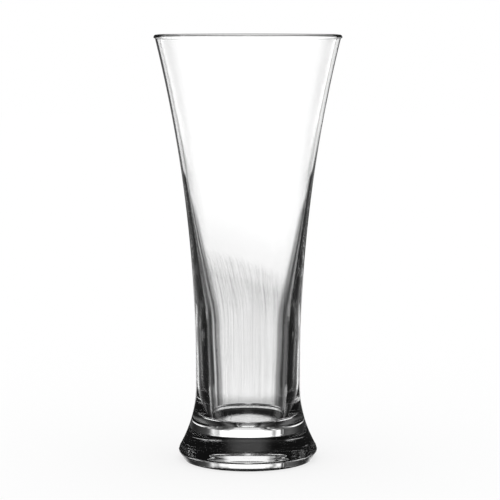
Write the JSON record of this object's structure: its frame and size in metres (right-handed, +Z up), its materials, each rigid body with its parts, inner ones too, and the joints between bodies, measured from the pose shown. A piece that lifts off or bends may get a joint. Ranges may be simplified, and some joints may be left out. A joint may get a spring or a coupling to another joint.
{
  "type": "footed cocktail glass",
  "caption": "Tall clear footed drinking glass: beaded rim, thin flared bowl over a thick straight waist, and a solid spreading foot that stands on a bearing ring.",
  "frame": {"origin": "on the table at the centre of the bearing ring", "axes": "+Z up along the glass's axis, towards the rim; the glass is round, so X and Y are free"},
  "size_m": [0.079, 0.079, 0.18],
  "materials": {
    "clear_glass": "clear colourless soda-lime glass, fire-polished, with faint upright draw lines on the inside",
    "stippled_glass": "the same clear glass with a fine stippled surface"
  },
  "bodies": {
    "root": {"rim_bead": "clear_glass", "flared_bowl": "clear_glass", "lower_bowl": "clear_glass", "foot": "clear_glass", "bearing_ring": "stippled_glass"}
  },
  "joints": []
}
